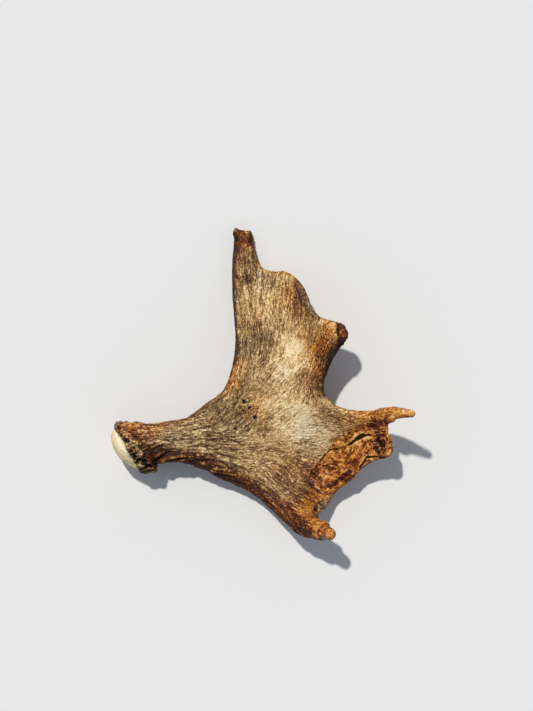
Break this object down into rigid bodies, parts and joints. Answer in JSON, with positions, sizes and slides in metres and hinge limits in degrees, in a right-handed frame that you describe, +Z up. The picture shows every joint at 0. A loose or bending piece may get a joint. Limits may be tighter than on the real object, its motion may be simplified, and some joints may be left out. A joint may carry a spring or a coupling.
{
  "type": "moose antler",
  "caption": "Cast palmate moose antler lying on its convex back, with burr, beam, main palm and brow palm.",
  "frame": {"origin": "middle of the footprint, on the surface that the antler lies on", "axes": "+Z up, out of the hollow side of the palms; +X from the burr towards the right tine; +Y along the main palm to its broken spike"},
  "size_m": [0.3476, 0.357, 0.1013],
  "materials": {
    "antler_bone": "satin"
  },
  "bodies": {
    "root": {"beam": "antler_bone", "main_palm": "antler_bone", "brow_palm": "antler_bone"}
  },
  "joints": []
}
